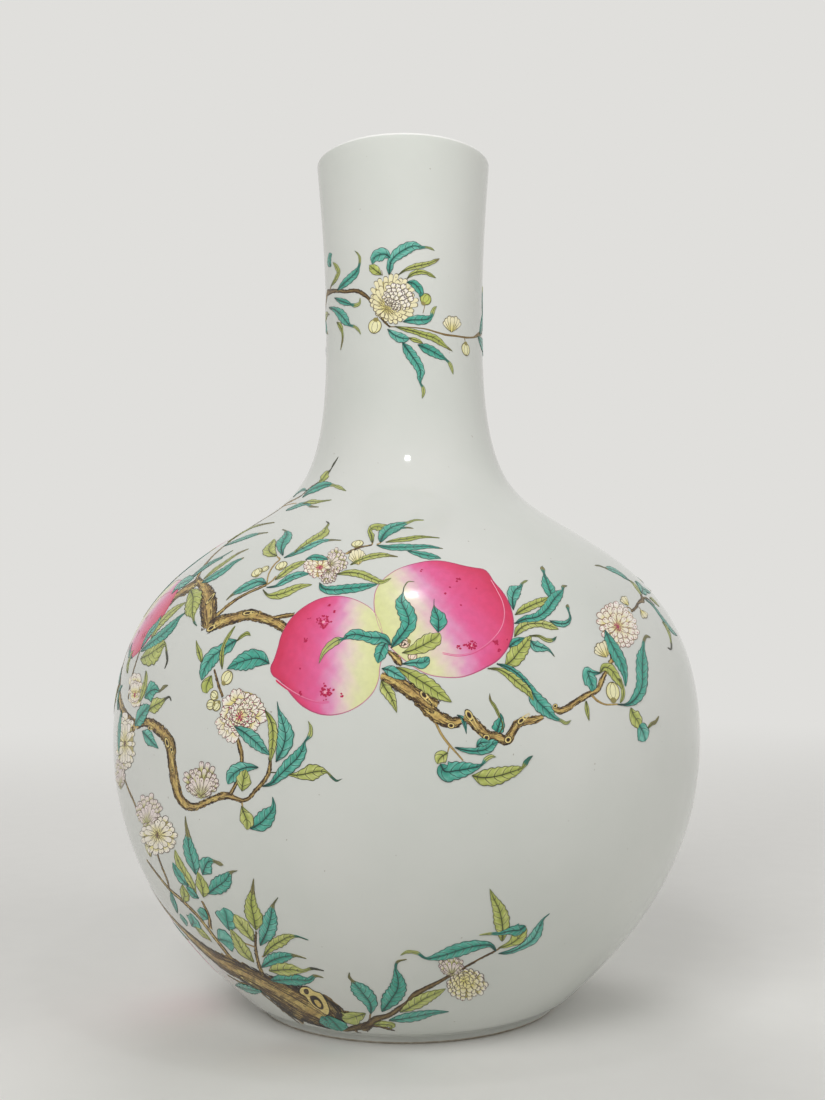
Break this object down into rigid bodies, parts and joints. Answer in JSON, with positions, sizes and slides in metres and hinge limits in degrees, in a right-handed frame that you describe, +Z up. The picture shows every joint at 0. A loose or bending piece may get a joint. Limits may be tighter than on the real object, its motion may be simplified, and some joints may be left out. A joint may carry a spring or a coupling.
{
  "type": "famille rose vase",
  "caption": "Large globular bottle vase with a tall slightly flared neck, thrown in luted sections and enamelled all round with peach boughs, blossoms and leaves.",
  "frame": {"origin": "centre of the foot rim, on the surface the vase stands on", "axes": "+Z up along the vase's axis, -Y towards the pictured front, +X to the picture's right"},
  "size_m": [0.3696, 0.3696, 0.54],
  "materials": {
    "glazed_porcelain": "glossy greenish-white glaze over white porcelain",
    "luting_slip": "matt clay slip, hidden between the sections",
    "peach_enamel": "semi-gloss opaque rose enamel shading to yellow-green",
    "petal_enamel": "semi-gloss cream enamel tipped with rose",
    "leaf_green_enamel": "glossy translucent blue-green enamel",
    "leaf_lime_enamel": "glossy translucent lime-green enamel",
    "bark_enamel": "semi-gloss ochre and brown enamel with sepia lines"
  },
  "bodies": {
    "root": {"foot_section": "glazed_porcelain", "foot_seam": "luting_slip", "lower_belly": "glazed_porcelain", "belly_seam": "luting_slip", "upper_belly": "glazed_porcelain", "neck_seam": "luting_slip", "neck": "glazed_porcelain", "peach_1": "peach_enamel", "peach_2": "peach_enamel", "peach_3": "peach_enamel", "peach_4": "peach_enamel", "peach_5": "peach_enamel", "peach_6": "peach_enamel", "peach_7": "peach_enamel", "peach_8": "peach_enamel", "peach_9": "peach_enamel", "blossom_1": "petal_enamel", "blossom_2": "petal_enamel", "blossom_3": "petal_enamel", "blossom_4": "petal_enamel", "blossom_5": "petal_enamel", "blossom_6": "petal_enamel", "blossom_7": "petal_enamel", "blossom_8": "petal_enamel", "blossom_9": "petal_enamel", "green_leaf_1": "leaf_green_enamel", "green_leaf_2": "leaf_green_enamel", "green_leaf_3": "leaf_green_enamel", "green_leaf_4": "leaf_green_enamel", "green_leaf_5": "leaf_green_enamel", "green_leaf_6": "leaf_green_enamel", "green_leaf_7": "leaf_green_enamel", "green_leaf_8": "leaf_green_enamel", "green_leaf_9": "leaf_green_enamel", "green_leaf_10": "leaf_green_enamel", "green_leaf_11": "leaf_green_enamel", "green_leaf_12": "leaf_green_enamel", "green_leaf_13": "leaf_green_enamel", "green_leaf_14": "leaf_green_enamel", "green_leaf_15": "leaf_green_enamel", "lime_leaf_1": "leaf_lime_enamel", "lime_leaf_2": "leaf_lime_enamel", "lime_leaf_3": "leaf_lime_enamel", "lime_leaf_4": "leaf_lime_enamel", "lime_leaf_5": "leaf_lime_enamel", "lime_leaf_6": "leaf_lime_enamel", "lime_leaf_7": "leaf_lime_enamel", "lime_leaf_8": "leaf_lime_enamel", "trunk": "bark_enamel", "bough_upper_left": "bark_enamel", "bough_right": "bark_enamel", "bough_lower_left": "bark_enamel", "bough_back_high": "bark_enamel", "bough_back_low": "bark_enamel", "twig_upper": "bark_enamel", "twig_foot": "bark_enamel", "twig_edge": "bark_enamel", "twig_neck": "bark_enamel", "twig_neck_back": "bark_enamel"}
  },
  "joints": []
}
